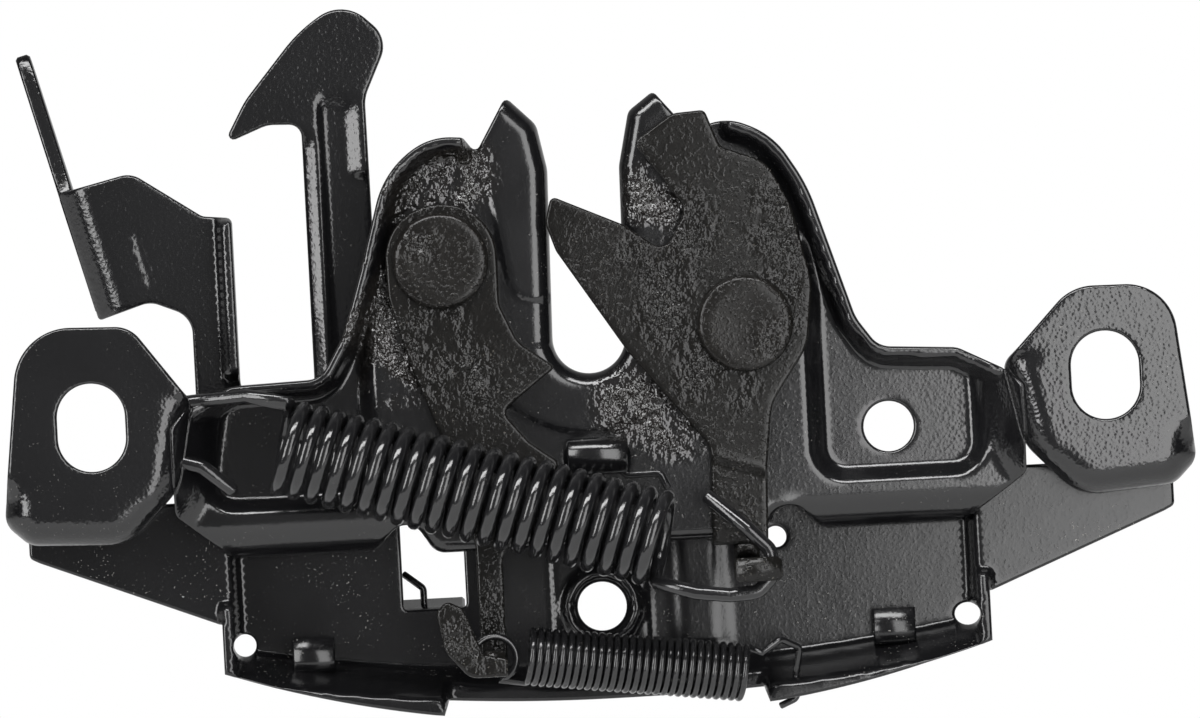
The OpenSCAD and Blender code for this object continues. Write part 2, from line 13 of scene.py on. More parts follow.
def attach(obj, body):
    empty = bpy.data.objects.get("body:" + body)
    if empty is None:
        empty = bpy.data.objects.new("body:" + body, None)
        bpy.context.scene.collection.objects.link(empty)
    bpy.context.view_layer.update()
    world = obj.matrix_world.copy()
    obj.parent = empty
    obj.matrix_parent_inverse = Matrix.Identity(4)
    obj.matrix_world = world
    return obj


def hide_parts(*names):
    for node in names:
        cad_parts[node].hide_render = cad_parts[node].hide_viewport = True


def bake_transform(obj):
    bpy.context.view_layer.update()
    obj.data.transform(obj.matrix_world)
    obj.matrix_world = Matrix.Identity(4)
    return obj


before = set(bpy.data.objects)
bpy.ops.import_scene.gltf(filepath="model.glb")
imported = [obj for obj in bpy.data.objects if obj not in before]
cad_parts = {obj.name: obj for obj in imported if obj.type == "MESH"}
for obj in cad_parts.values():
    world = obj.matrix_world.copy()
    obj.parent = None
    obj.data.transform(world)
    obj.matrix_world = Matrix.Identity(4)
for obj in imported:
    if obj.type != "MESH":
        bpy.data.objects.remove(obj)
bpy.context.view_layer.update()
MM = 0.001

# Depths of the front faces; -Y is the front
FLOOR, WING, FLANGE = -1.8, -9.8, -14.0
PANEL, TOWER, RIM, EAR = -11.8, -14.8, -19.8, -25.8
LEVER, LEVER_BACK = -18.4, -15.4
SAFETY = 0.4
FRONT_SHEET, REAR_SHEET, SAFETY_SHEET = 2.0, 1.8, 2.3

# Places of the pivots as (x, z)
CLAW_PIVOT, PAWL_PIVOT, SAFETY_PIVOT = (25, 44), (-22.8, 56.4), (-46, 21)


# Outlines

def unit(vector):
    return vector / np.linalg.norm(vector)


def half_angle(u, v):
    """Half the angle between two unit vectors."""
    return math.acos(max(-1.0, min(1.0, float(u @ v)))) / 2


def rounded(corners, step=0.5):
    """Points of an outline given as (x, z, corner radius)."""
    out = []
    count = len(corners)
    for i, (x, z, radius) in enumerate(corners):
        here = np.array([x, z], float)
        if radius == 0:
            out.append(here)
            continue
        u = unit(np.array(corners[i - 1][:2], float) - here)
        v = unit(np.array(corners[(i + 1) % count][:2], float) - here)
        half = half_angle(u, v)
        middle = here + unit(u + v) * radius / math.sin(half)
        first = here + u * radius / math.tan(half) - middle
        last = here + v * radius / math.tan(half) - middle
        turn = math.atan2(first[0] * last[1] - first[1] * last[0], float(first @ last))
        start = math.atan2(first[1], first[0])
        steps = max(3, int(abs(turn) * radius / step) + 1)
        for k in range(steps + 1):
            angle = start + turn * k / steps
            out.append(middle + radius * np.array([math.cos(angle), math.sin(angle)]))
    return np.array(out)


def circle(x, z, radius, steps=40):
    angles = np.arange(steps) * 2 * math.pi / steps
    return np.column_stack([x + radius * np.cos(angles), z + radius * np.sin(angles)])


def box(left, low, right, high, radius):
    """Outline of a rectangle with rounded corners."""
    return rounded([(left, low, radius), (right, low, radius), (right, high, radius), (left, high, radius)])


def stadium(x, z, width, length):
    """Outline of an upright slot; its corners stop just short of meeting."""
    half, rise = width / 2, length / 2
    return box(x - half, z - rise, x + half, z + rise, half - 0.02)


def mirrored(corners):
    return [(-x, z, radius) for x, z, radius in reversed(corners)]


def divided(loop, step):
    """The same closed outline with no side longer than step."""
    out = []
    for a, b in zip(loop, np.roll(loop, -1, axis=0)):
        length = np.linalg.norm(b - a)
        if length < 1e-6:
            continue
        parts = max(1, math.ceil(length / step))
        out.extend(a + (b - a) * k / parts for k in range(parts))
    return np.array(out)


def inside(points, loop):
    """True for each point inside a closed outline."""
    found = np.zeros(len(points), bool)
    x, z = points[:, 0], points[:, 1]
    for a, b in zip(loop, np.roll(loop, -1, axis=0)):
        crosses = (a[1] > z) != (b[1] > z)
        rise = b[1] - a[1] if abs(b[1] - a[1]) > 1e-12 else 1e-12
        found ^= crosses & (x < (b[0] - a[0]) * (z - a[1]) / rise + a[0])
    return found


def distance(points, loop):
    """Distance from each point to the nearest side of a closed outline."""
    best = np.full(len(points), 1e9)
    for a, b in zip(loop, np.roll(loop, -1, axis=0)):
        side = b - a
        along = np.clip((points - a) @ side / max(side @ side, 1e-12), 0, 1)
        gap = points - a - along[:, None] * side
        best = np.minimum(best, np.einsum("ij,ij->i", gap, gap))
    return np.sqrt(best)


def nearest(points, loops):
    return np.min([distance(points, loop) for loop in loops], axis=0)


def smooth(low, high, value):
    """0 below low, 1 above high and a soft rise between them."""
    t = np.clip((value - low) / (high - low), 0, 1)
    return t * t * (3 - 2 * t)


def below(low, high, value):
    """1 below low, 0 above high and a soft fall between them."""
    return 1 - smooth(low, high, value)


def fall(gap, radius):
    """Drop of a rounded edge of the given radius at a distance from the edge."""
    t = np.clip((radius - gap) / radius, 0, 1)
    return radius * (1 - np.sqrt(np.clip(1 - t * t, 0, 1)))


# Meshes

def mesh_piece(name, shell, body, material, node):
    points, faces = shell
    mesh = bpy.data.meshes.new(name)
    mesh.from_pydata([tuple(p * MM for p in point) for point in points], [], faces)
    mesh.validate()
    mesh.update()
    mesh.polygons.foreach_set("use_smooth", [True] * len(mesh.polygons))
    piece = bpy.data.objects.new(name, mesh)
    bpy.context.scene.collection.objects.link(piece)
    piece.data.materials.append(material)
    if body:
        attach(piece, body)
    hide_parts(node)
    return piece


def edge_rows(loops, gaps, kept):
    """Rows of points along the outlines, at each of the given gaps from the edge."""
    rows = []
    for loop in loops:
        ahead = np.roll(loop, -1, axis=0) - np.roll(loop, 1, axis=0)
        ahead /= np.maximum(np.linalg.norm(ahead, axis=1), 1e-9)[:, None]
        across = np.column_stack([-ahead[:, 1], ahead[:, 0]])
        for gap in gaps:
            for side in (-1, 1):
                row = loop + side * gap * across
                off = np.abs(nearest(row, loops) - gap)
                rows.append(row[kept(row) & (off < 0.04 * gap + 0.005)])
    return rows


def flat_mesh(points, loops, kept):
    """Points and triangles of the flat sheet; the outlines come first among the points."""
    edges, first = [], 0
    for loop in loops:
        count = len(loop)
        edges += [(first + k, first + (k + 1) % count) for k in range(count)]
        first += count
    found = delaunay_2d_cdt([Vector(p) for p in points], edges, [], 0, 1e-5)
    flat = np.array([tuple(p) for p in found[0]])
    triangles = np.array([tuple(f) for f in found[2]])
    triangles = triangles[kept(flat[triangles].mean(axis=1))]
    a, b, c = (flat[triangles[:, k]] for k in range(3))
    turn = (b[:, 0] - a[:, 0]) * (c[:, 1] - a[:, 1]) - (b[:, 1] - a[:, 1]) * (c[:, 0] - a[:, 0])
    triangles[turn < 0] = triangles[turn < 0][:, ::-1]
    used = np.unique(triangles)
    place = np.full(len(flat), -1)
    place[used] = np.arange(len(used))
    return flat[used], place[triangles]


def relief(outlines, holes, front, back, step, gaps=(0.1, 0.28, 0.55)):
    """Shell of a sheet whose front and back depths are functions of (points, gap to the edge)."""
    outline_loops = [divided(loop, step) for loop in outlines]
    hole_loops = [divided(loop, step) for loop in holes]
    loops = outline_loops + hole_loops

    def kept(points):
        found = np.zeros(len(points), bool)
        for loop in outline_loops:
            found |= inside(points, loop)
        for loop in hole_loops:
            found &= ~inside(points, loop)
        return found

    everything = np.concatenate(loops)
    low, high = everything.min(axis=0), everything.max(axis=0)
    columns = np.arange(low[0], high[0], step)
    lines = np.arange(low[1], high[1], step * 0.866)
    grid = np.array([(x + (0.5 * step if k % 2 else 0), z) for k, z in enumerate(lines) for x in columns])
    grid = grid[kept(grid) & (nearest(grid, loops) > gaps[-1] + 0.4 * step)]
    flat, triangles = flat_mesh(np.concatenate(loops + edge_rows(loops, gaps, kept) + [grid]), loops, kept)
    sides = dict.fromkeys((int(t[k]), int(t[(k + 1) % 3])) for t in triangles for k in range(3))
    border = [(a, b) for a, b in sides if (b, a) not in sides]
    edge_gap = nearest(flat, loops)
    count = len(flat)
    points = [(p[0], y, p[1]) for p, y in zip(flat, front(flat, edge_gap))]
    points += [(p[0], y, p[1]) for p, y in zip(flat, back(flat, edge_gap))]
    faces = [tuple(int(v) for v in t) for t in triangles]
    faces += [tuple(int(v) + count for v in reversed(t)) for t in triangles]
    faces += [(b, a, a + count, b + count) for a, b in border]
    return points, faces


def joined(*shells):
    """Several shells as one."""
    points, faces = [], []
    for shell_points, shell_faces in shells:
        first = len(points)
        points += list(shell_points)
        faces += [tuple(v + first for v in face) for face in shell_faces]
    return points, faces


def tube_faces(rings, sides, turned_round=False):
    """Faces that join rings of points one after the other and close both ends."""
    faces = []
    for k in range(rings - 1):
        for s in range(sides):
            t = (s + 1) % sides
            a, b = k * sides + s, k * sides + t
            faces.append((a, a + sides, b + sides, b) if turned_round else (a, b, b + sides, a + sides))
    first = list(range(sides))
    last = [(rings - 1) * sides + s for s in range(sides)]
    faces.append(tuple(first if turned_round else reversed(first)))
    faces.append(tuple(reversed(last) if turned_round else last))
    return faces


def bent(path, radius, steps=8):
    """A line of 3-D points whose inner corners are rounded, as far as the sides leave room."""
    path = [np.array(p, float) for p in path]
    out = [path[0]]
    for before, here, after in zip(path, path[1:], path[2:]):
        u, v = unit(before - here), unit(after - here)
        half = half_angle(u, v)
        reach = radius / math.tan(half)
        limit = 0.48 * min(np.linalg.norm(before - here), np.linalg.norm(after - here))
        bend = radius * min(1.0, limit / reach)
        middle = here + unit(u + v) * bend / math.sin(half)
        first = here + u * bend / math.tan(half) - middle
        last = here + v * bend / math.tan(half) - middle
        total = math.acos(max(-1.0, min(1.0, float(first @ last) / bend ** 2)))
        for k in range(steps + 1):
            t = k / steps
            arm = math.sin((1 - t) * total) * first + math.sin(t * total) * last
            out.append(middle + arm / math.sin(total))
    out.append(path[-1])
    return out


# Rings that round off the end of a wire, as (share of its thickness, share of its radius beyond the end)
WIRE_TIP = [(0.55, 0.45), (0.85, 0.25)]


def wire(path, thickness, sides=12):
    """A round wire along a line of points."""
    path = np.array(path, float)
    ahead = np.gradient(path, axis=0)
    ahead /= np.linalg.norm(ahead, axis=1)[:, None]
    across = np.cross(ahead[0], (0.0, 0.0, 1.0) if abs(ahead[0][2]) < 0.9 else (1.0, 0.0, 0.0))
    rings = [(0, size, -push) for size, push in WIRE_TIP]
    rings += [(k, 1.0, 0.0) for k in range(len(path))]
    rings += [(len(path) - 1, size, push) for size, push in reversed(WIRE_TIP)]
    points = []
    for k, size, push in rings:
        across = unit(across - (across @ ahead[k]) * ahead[k])
        other = np.cross(ahead[k], across)
        for s in range(sides):
            angle = 2 * math.pi * s / sides
            ring = math.cos(angle) * across + math.sin(angle) * other
            points.append(path[k] + ahead[k] * push * thickness / 2 + ring * thickness / 2 * size)
    return points, tube_faces(len(rings), sides)


def coil(start, end, radius, turns, first_angle, steps=28):
    """Points of a coil; an angle of 0 is up and 90 is forward."""
    start, end = np.array(start, float), np.array(end, float)
    axis = unit(end - start)
    forward = np.array([0.0, -1.0, 0.0])
    ahead = unit(forward - (forward @ axis) * axis)
    up = np.cross(ahead, axis)
    count = int(turns * steps)
    out = []
    for k in range(count + 1):
        angle = math.radians(first_angle - 360 * k / steps)
        ring = radius * (math.cos(angle) * up + math.sin(angle) * ahead)
        out.append(start + (end - start) * k / count + ring)
    return out


def ribbon(path, across, widths, thickness, edge):
    """A bent strip of sheet along a line, as wide as widths says on its two sides at each point."""
    path = np.array(path, float)
    across = unit(np.array(across, float))
    ahead = np.gradient(path, axis=0)
    ahead /= np.linalg.norm(ahead, axis=1)[:, None]
    half = thickness / 2
    points = []
    for k in range(len(path)):
        normal = unit(np.cross(across, ahead[k]))
        low, high = widths[k]
        ring = [(low, -half + edge), (low + edge, -half), (high - edge, -half), (high, -half + edge),
                (high, half - edge), (high - edge, half), (low + edge, half), (low, half - edge)]
        points += [path[k] + across * s + normal * n for s, n in ring]
    return points, tube_faces(len(path), len(ring))


def strip(corners, bend, half_width, thickness, edge):
    """A strip of even width across X, bent along a line of corners."""
    path = bent(corners, bend)
    return ribbon(path, (1, 0, 0), [(-half_width, half_width)] * len(path), thickness, edge)


def turned(pivot, profile, steps=72):
    """A turned piece about a line along Y through (x, z); the profile is (radius, y) from front to back."""
    x, z = pivot
    points = []
    for radius, y in profile:
        for s in range(steps):
            angle = 2 * math.pi * s / steps
            points.append((x + radius * math.cos(angle), y, z + radius * math.sin(angle)))
    return points, tube_faces(len(profile), steps, turned_round=True)


# Materials; the scales of the patterns are in cells per metre

def new_material(name):
    material = bpy.data.materials.new(name)
    material.use_nodes = True
    tree = material.node_tree
    return material, tree, tree.nodes["Principled BSDF"]


def grey(level):
    return (level, level, level)


def shade(colour, factor):
    return tuple(c * factor for c in colour)


def feed(tree, socket, value):
    """Set a socket to a plain value or link it to another socket."""
    if isinstance(value, (int, float)):
        socket.default_value = value
    elif isinstance(value, tuple):
        socket.default_value = (*value, 1.0) if len(socket.default_value) == 4 else value
    else:
        tree.links.new(value, socket)


def maths(tree, kind, a, b):
    node = tree.nodes.new("ShaderNodeMath")
    node.operation = kind
    feed(tree, node.inputs[0], a)
    feed(tree, node.inputs[1], b)
    return node.outputs["Value"]


def times(tree, a, b):
    return maths(tree, "MULTIPLY", a, b)


def noise(tree, vector, scale, detail=3.0, rough=0.55):
    node = tree.nodes.new("ShaderNodeTexNoise")
    node.inputs["Scale"].default_value = scale
    node.inputs["Detail"].default_value = detail
    node.inputs["Roughness"].default_value = rough
    tree.links.new(vector, node.inputs["Vector"])
    return node.outputs["Fac"]


def cells(tree, vector, scale):
    """Soft rounded cells, like the grain of leather."""
    node = tree.nodes.new("ShaderNodeTexVoronoi")
    node.feature = "SMOOTH_F1"
    node.inputs["Scale"].default_value = scale
    node.inputs["Smoothness"].default_value = 0.5
    tree.links.new(vector, node.inputs["Vector"])
    return node.outputs["Distance"]


def span(tree, value, low, high, from_level=0.0, to_level=1.0):
    """Map a value between two places onto two levels, smoothly and clamped."""
    node = tree.nodes.new("ShaderNodeMapRange")
    node.interpolation_type = "SMOOTHSTEP"
    for name, level in (("From Min", low), ("From Max", high), ("To Min", from_level), ("To Max", to_level)):
        node.inputs[name].default_value = level
    tree.links.new(value, node.inputs["Value"])
    return node.outputs["Result"]


def patches(tree, vector, scale, low, high, detail=3.0, rough=0.55):
    """Noise cut into soft patches: 0 where it is below low and 1 above high."""
    return span(tree, noise(tree, vector, scale, detail, rough), low, high)


def mix(tree, factor, a, b):
    node = tree.nodes.new("ShaderNodeMix")
    node.data_type = "RGBA"
    colours = [socket for socket in node.inputs if socket.type == "RGBA"]
    tree.links.new(factor, node.inputs[0])
    feed(tree, colours[0], a)
    feed(tree, colours[1], b)
    return [socket for socket in node.outputs if socket.type == "RGBA"][0]


def bumps(tree, shader, layers):
    """Chain of bump nodes, given as (height, strength, depth in metres)."""
    last = None
    for height, strength, depth in layers:
        node = tree.nodes.new("ShaderNodeBump")
        feed(tree, node.inputs["Strength"], strength)
        node.inputs["Distance"].default_value = depth
        tree.links.new(height, node.inputs["Height"])
        if last is not None:
            tree.links.new(last, node.inputs["Normal"])
        last = node.outputs["Normal"]
    tree.links.new(last, shader.inputs["Normal"])


def placed(tree, seed):
    """Object coordinates, and the same moved aside so that no two finishes share a pattern."""
    here = tree.nodes.new("ShaderNodeTexCoord").outputs["Object"]
    node = tree.nodes.new("ShaderNodeMapping")
    node.inputs["Location"].default_value = (seed, seed * 0.7, seed * 1.3)
    tree.links.new(here, node.inputs["Vector"])
    return here, node.outputs["Vector"]


def near_spots(tree, here, spots):
    """1 at the middle of each (x, z, radius) spot in millimetres, falling to 0 at its edge."""
    flat = tree.nodes.new("ShaderNodeVectorMath")
    flat.operation = "MULTIPLY"
    tree.links.new(here, flat.inputs[0])
    flat.inputs[1].default_value = (1.0, 0.0, 1.0)
    total = None
    for x, z, radius in spots:
        gap = tree.nodes.new("ShaderNodeVectorMath")
        gap.operation = "DISTANCE"
        tree.links.new(flat.outputs["Vector"], gap.inputs[0])
        gap.inputs[1].default_value = (x * MM, 0.0, z * MM)
        spot = span(tree, gap.outputs["Value"], radius * MM, radius * MM * 0.3)
        total = spot if total is None else maths(tree, "MAXIMUM", total, spot)
    return total


def swept(tree, here, pivot):
    """Coordinates that follow circles about a pivot, for marks left by turning."""
    parts = tree.nodes.new("ShaderNodeSeparateXYZ")
    tree.links.new(here, parts.inputs["Vector"])
    across = maths(tree, "SUBTRACT", parts.outputs["X"], pivot[0] * MM)
    up = maths(tree, "SUBTRACT", parts.outputs["Z"], pivot[1] * MM)
    square = maths(tree, "ADD", times(tree, across, across), times(tree, up, up))
    turn = times(tree, maths(tree, "ARCTAN2", up, across), 0.004)
    joint = tree.nodes.new("ShaderNodeCombineXYZ")
    tree.links.new(maths(tree, "SQRT", square, 0.0), joint.inputs["X"])
    tree.links.new(turn, joint.inputs["Y"])
    return joint.outputs["Vector"]


PAINT_BLACK, BARE_EDGE = (0.004, 0.004, 0.0044), (0.06, 0.06, 0.064)
DUST, GRIT, DIRT = (0.3, 0.29, 0.27), (0.16, 0.15, 0.13), (0.12, 0.11, 0.1)
GREASE, LEVER_STEEL, RIVET_STEEL = (0.012, 0.0105, 0.009), (0.005, 0.0047, 0.0043), (0.006, 0.0055, 0.005)
WIRE_DARK, WIRE_PALE = (0.004, 0.004, 0.0045), (0.01, 0.01, 0.0105)
SMEAR_SCALE = 680


def painted(name, rough, grain, glitter, dust, seed, specular=0.5, grained=(), greasy=()):
    """Black dip paint: leather-like grain, glints, softly uneven gloss, thin edges, dust and grease."""
    material, tree, shader = new_material(name)
    here, place = placed(tree, seed)
    cloud = noise(tree, place, 45)
    leather = cells(tree, place, 1700)
    pimples = patches(tree, place, 1700, 0.5, 0.72, 1, 0.4)
    wave = noise(tree, place, 220, 2)
    if grained:
        uneven = maths(tree, "ADD", times(tree, near_spots(tree, here, grained), 0.9), 0.1)
    else:
        uneven = span(tree, noise(tree, place, 28, 2), 0.35, 0.65, 0.3, 1.0)
    specks = patches(tree, place, 3000, 0.72, 0.78, 1, 0.3)
    dusty = times(tree, times(tree, specks, patches(tree, place, 80, 0.45, 0.65)), dust)
    edge = span(tree, tree.nodes.new("ShaderNodeNewGeometry").outputs["Pointiness"], 0.54, 0.62)
    base = mix(tree, cloud, shade(PAINT_BLACK, 0.7), shade(PAINT_BLACK, 1.4))
    base = mix(tree, times(tree, edge, 0.2), base, BARE_EDGE)
    base = mix(tree, dusty, base, DUST)
    level = span(tree, cloud, 0.3, 0.7, rough * 0.88, rough * 1.12)
    level = maths(tree, "ADD", level, times(tree, dusty, 0.3))
    layers = [(wave, 0.02, 0.0012), (leather, times(tree, uneven, grain), 0.0003), (pimples, glitter, 0.0001)]
    if greasy:
        smear = noise(tree, place, SMEAR_SCALE, 2, 0.5)
        film = times(tree, near_spots(tree, here, greasy), patches(tree, place, 130, 0.34, 0.54))
        level = maths(tree, "SUBTRACT", level, times(tree, film, rough * 0.6))
        base = mix(tree, times(tree, film, 0.7), base, GREASE)
        layers.append((smear, film, 0.0013))
    layers.append((dusty, 0.35, 0.00006))
    tree.links.new(base, shader.inputs["Base Color"])
    tree.links.new(level, shader.inputs["Roughness"])
    shader.inputs["Specular IOR Level"].default_value = specular
    bumps(tree, shader, layers)
    return material


def greased(name, colour, rough, glitter, pivot, spots, seed):
    """Dark steel with glints, smears of grease, marks swept about the pivot, and grit."""
    material, tree, shader = new_material(name)
    here, place = placed(tree, seed)
    cloud = noise(tree, place, 60)
    pimples = patches(tree, place, 1500, 0.52, 0.68, 1, 0.4)
    fine = noise(tree, place, 3300, 3, 0.6)
    smear = noise(tree, place, SMEAR_SCALE, 2, 0.5)
    sweep = noise(tree, swept(tree, here, pivot), 1500, 3, 0.6)
    film = times(tree, near_spots(tree, here, spots), patches(tree, place, 120, 0.36, 0.56))
    marks = patches(tree, place, 90, 0.46, 0.62, 2)
    patchy = span(tree, noise(tree, place, 70, 2), 0.38, 0.62, 0.2, 1.0)
    grit = times(tree, patches(tree, place, 2600, 0.71, 0.77, 1, 0.3), span(tree, cloud, 0.4, 0.6))
    base = mix(tree, smear, shade(colour, 0.6), shade(colour, 1.5))
    base = mix(tree, times(tree, grit, 0.4), base, GRIT)
    level = span(tree, cloud, 0.3, 0.7, rough * 0.85, rough * 1.2)
    level = maths(tree, "SUBTRACT", level, times(tree, film, rough * 0.5))
    tree.links.new(base, shader.inputs["Base Color"])
    tree.links.new(level, shader.inputs["Roughness"])
    shader.inputs["Specular IOR Level"].default_value = 0.21
    bumps(tree, shader, [(pimples, times(tree, patchy, glitter), 0.0001), (fine, 0.05, 0.00008),
                         (sweep, times(tree, marks, 0.12), 0.0004), (smear, times(tree, film, 0.9), 0.0011)])
    return material


def spring_paint(name, rough, seed):
    """Glossy paint on wire, with fine grain and a little dirt."""
    material, tree, shader = new_material(name)
    place = placed(tree, seed)[1]
    cloud = noise(tree, place, 120)
    grain = noise(tree, place, 1100, 3, 0.6)
    dirt = times(tree, patches(tree, place, 2400, 0.7, 0.78, 1, 0.3), span(tree, cloud, 0.45, 0.6))
    base = mix(tree, cloud, WIRE_DARK, WIRE_PALE)
    base = mix(tree, times(tree, dirt, 0.3), base, DIRT)
    tree.links.new(base, shader.inputs["Base Color"])
    tree.links.new(span(tree, cloud, 0.3, 0.7, rough * 0.8, rough * 1.4), shader.inputs["Roughness"])
    bumps(tree, shader, [(grain, 0.22, 0.0002), (cloud, 0.15, 0.0004)])
    return material


# Spots of grease, and the ears with their stronger grain, as (x, z, radius)
PLATE_SPOTS = [(13, 65, 9), (-34, 47, 8), (-31, 40, 9), (-33, 53, 7), (6, 32, 8), (13, 29, 8),
               (-20, 70, 9), (-27, 66, 8)]
CLAW_SPOTS = [(14, 47, 9), (16, 60, 8), (32, 60, 9), (20, 36, 9), (11, 55, 8), (32, 48, 7)]
PAWL_SPOTS = [(-24, 44, 9), (-21, 38, 9), (-22, 65, 8), (-21, -2, 10)]
RIVET_SPOTS = [(29, 41, 5), (-26, 60, 5)]
EAR_SPOTS = [(81, 34, 36), (-79, 34, 36)]

FRONT_PAINT = painted("front_plate_paint", rough=0.17, grain=0.14, glitter=0.05, dust=0.3, seed=1.0,
                      grained=EAR_SPOTS, greasy=PLATE_SPOTS)
REAR_PAINT = painted("rear_plate_paint", rough=0.19, grain=0.02, glitter=0.05, dust=0.5, seed=4.0,
                     specular=0.4)
SAFETY_PAINT = painted("safety_paint", rough=0.18, grain=0.1, glitter=0.14, dust=0.15, seed=7.0)
CLAW_GREASE = greased("claw_grease", LEVER_STEEL, 0.2, 0.7, CLAW_PIVOT, CLAW_SPOTS, 2.0)
PAWL_GREASE = greased("pawl_grease", LEVER_STEEL, 0.2, 0.6, PAWL_PIVOT, PAWL_SPOTS, 6.0)
RIVET_GREASE = greased("greased_rivet", RIVET_STEEL, 0.22, 1.0, CLAW_PIVOT, RIVET_SPOTS, 9.0)
MAIN_WIRE = spring_paint("main_wire", 0.13, 3.0)
THIN_WIRE = spring_paint("thin_wire", 0.15, 5.0)


# Front plate

PLATE_GRID = 0.75
SLOT_HALF, SLOT_FOOT = 5.8, 37.3
SLOT_ROUND = SLOT_HALF - 0.05
LEFT_TIP, RIGHT_TIP = (-11.2, 81.9), (12.3, 81.6)
RIGHT_EDGE = [
    (26, 10, 3), (30, 16.5, 3), (36, 10.6, 3), (58, 10.6, 5), (68.5, 18, 2), (68.5, 32, 1),
    (65.5, 34.8, 2), (58.5, 38.4, 4), (46, 39.2, 4), (42.6, 44, 8), (36, 65.5, 28), (30.9, 73.8, 13),
    (23.5, 76.9, 8), (19.5, 75.4, 0.6), (16.6, 76.4, 0.6), (*RIGHT_TIP, 0.8), (8.2, 78.6, 2),
    (6.3, 70, 6), (SLOT_HALF, SLOT_FOOT, SLOT_ROUND)]
LEFT_EDGE = [
    (-SLOT_HALF, SLOT_FOOT, SLOT_ROUND), (-5.1, 70, 6), (-6.5, 77.2, 3), (*LEFT_TIP, 0.8),
    (-16.3, 73.2, 0.8), (-18.3, 75.8, 1), (-23.4, 76.2, 10), (-31, 71.2, 15), (-35.4, 56, 20),
    (-38.8, 45.4, 12), (-42.8, 38.6, 4), (-57, 38.2, 4), (-64.5, 34.8, 2), (-67, 32, 1), (-67, 18, 2),
    (-58, 10.6, 5), (-36, 10.6, 3), (-30, 16.5, 3), (-26, 10, 3)]
RIGHT_EAR_EDGE = [
    (64.5, 35.5, 3), (67.2, 22.5, 8), (75.5, 13.8, 8), (90.6, 15, 4), (94.4, 18.8, 3.5),
    (91.4, 47, 8), (75.8, 47.2, 8)]
LEFT_EAR_EDGE = [
    (64.5, 36.2, 3), (67.2, 22.5, 8), (75.5, 13.8, 8), (91.2, 14.6, 4), (95.1, 18.2, 3.5),
    (91.4, 49.2, 9), (73.6, 48.6, 5)]
PLATE = rounded(RIGHT_EDGE + LEFT_EDGE)
SLOT_EDGE = rounded(LEFT_EDGE[:3] + [(*LEFT_TIP, 0), (*RIGHT_TIP, 0)] + RIGHT_EDGE[-3:])
EAR_MIDDLE = 1.1
RIGHT_EAR = rounded(RIGHT_EAR_EDGE) + (EAR_MIDDLE, 0)
LEFT_EAR = rounded(mirrored(LEFT_EAR_EDGE)) + (EAR_MIDDLE, 0)
EAR_SLOTS = [stadium(EAR_MIDDLE + side * 80.5, 32.9, 10.8, 14) for side in (1, -1)]
LOCATING_HOLE = circle(47, 26.4, 4)
ANCHOR_HOLE = box(-4.2, 21.9, 5.2, 25.1, 0.6)

POCKET_MIDDLE, POCKET_HALF, POCKET_CORNER = (48.5, 39.0), (13.5, 20.5), 5.0
STEP_CORNER, STEP_ROUND, STEP_SLOPE = (-8.4, 53.4), 4.3, 0.16
COLLAR_MIDDLE, COLLAR_TOP = 47.5, 42
LOW_PRESS = 0.5
SKIRT_FOOT, SKIRT_ROLL = 10.6, 7.0
RIM_WIDTH, RIM_CURVE, RIM_POWER = 3.4, 1.9, 2.2
SLOT_ROLL, LOBE_ROLL, EAR_ROLL, EAR_SLOPE = 2.8, 2.2, 5.0, 6.0
SLOT_WALL = 4.0


def pocket(points):
    """Distance outside the pressed pocket of a side panel; negative inside it."""
    dx = np.abs(np.abs(points[:, 0]) - POCKET_MIDDLE[0]) - (POCKET_HALF[0] - POCKET_CORNER)
    dz = np.abs(points[:, 1] - POCKET_MIDDLE[1]) - (POCKET_HALF[1] - POCKET_CORNER)
    outer = np.sqrt(np.maximum(dx, 0) ** 2 + np.maximum(dz, 0) ** 2)
    return outer + np.minimum(np.maximum(dx, dz), 0) - POCKET_CORNER


def on_skirt(x):
    """1 along the panels, whose foot rolls back, and 0 at the lobe between them."""
    return smooth(29.0, 33.0, np.abs(x))


def plate_levels(points, inner):
    """Depth of the pressed sheet, without its rim and ears."""
    x, z = points[:, 0], points[:, 1]
    level = TOWER + (PANEL - TOWER) * below(-2.2, 1.0, pocket(points))
    # Step between the left prong and the pawl
    dx, dz = x - STEP_CORNER[0], z - STEP_CORNER[1]
    straight = np.minimum(dx + STEP_ROUND + STEP_SLOPE * dz, dz + STEP_ROUND)
    beyond = np.where((dx < 0) & (dz < 0), STEP_ROUND - np.hypot(dx, dz), straight)
    level = level - LOW_PRESS * smooth(0.0, 0.7, beyond) * (x < 0)
    # Low collar below the slot
    around = np.hypot(x, z - COLLAR_MIDDLE)
    collar = below(18.9, 20.0, around) * below(13.0, 15.0, np.abs(x)) * (z < COLLAR_TOP)
    level = level - LOW_PRESS * collar
    return level + on_skirt(x) * fall(z - SKIRT_FOOT - inner, SKIRT_ROLL - inner)


def in_rim(points):
    """Where the rim stands up: round the towers and along the tops of the panels."""
    x, z = points[:, 0], points[:, 1]
    reach = np.abs(x)
    tower = smooth(39.0, 40.5, z) * np.maximum(smooth(22.8, 24.2, x), smooth(17.2, 18.6, -x))
    panel = smooth(32.5, 34.5, z) * smooth(35.0, 37.0, reach) * below(64.0, 66.0, reach)
    return np.maximum(tower, panel)


def ear_gap(points):
    """Distance inside (positive) or outside (negative) the nearer ear."""
    gaps = []
    for ear in (RIGHT_EAR, LEFT_EAR):
        gap = distance(points, ear)
        gaps.append(np.where(inside(points, ear) | (gap < 0.02), gap, -gap))
    return np.maximum(*gaps)


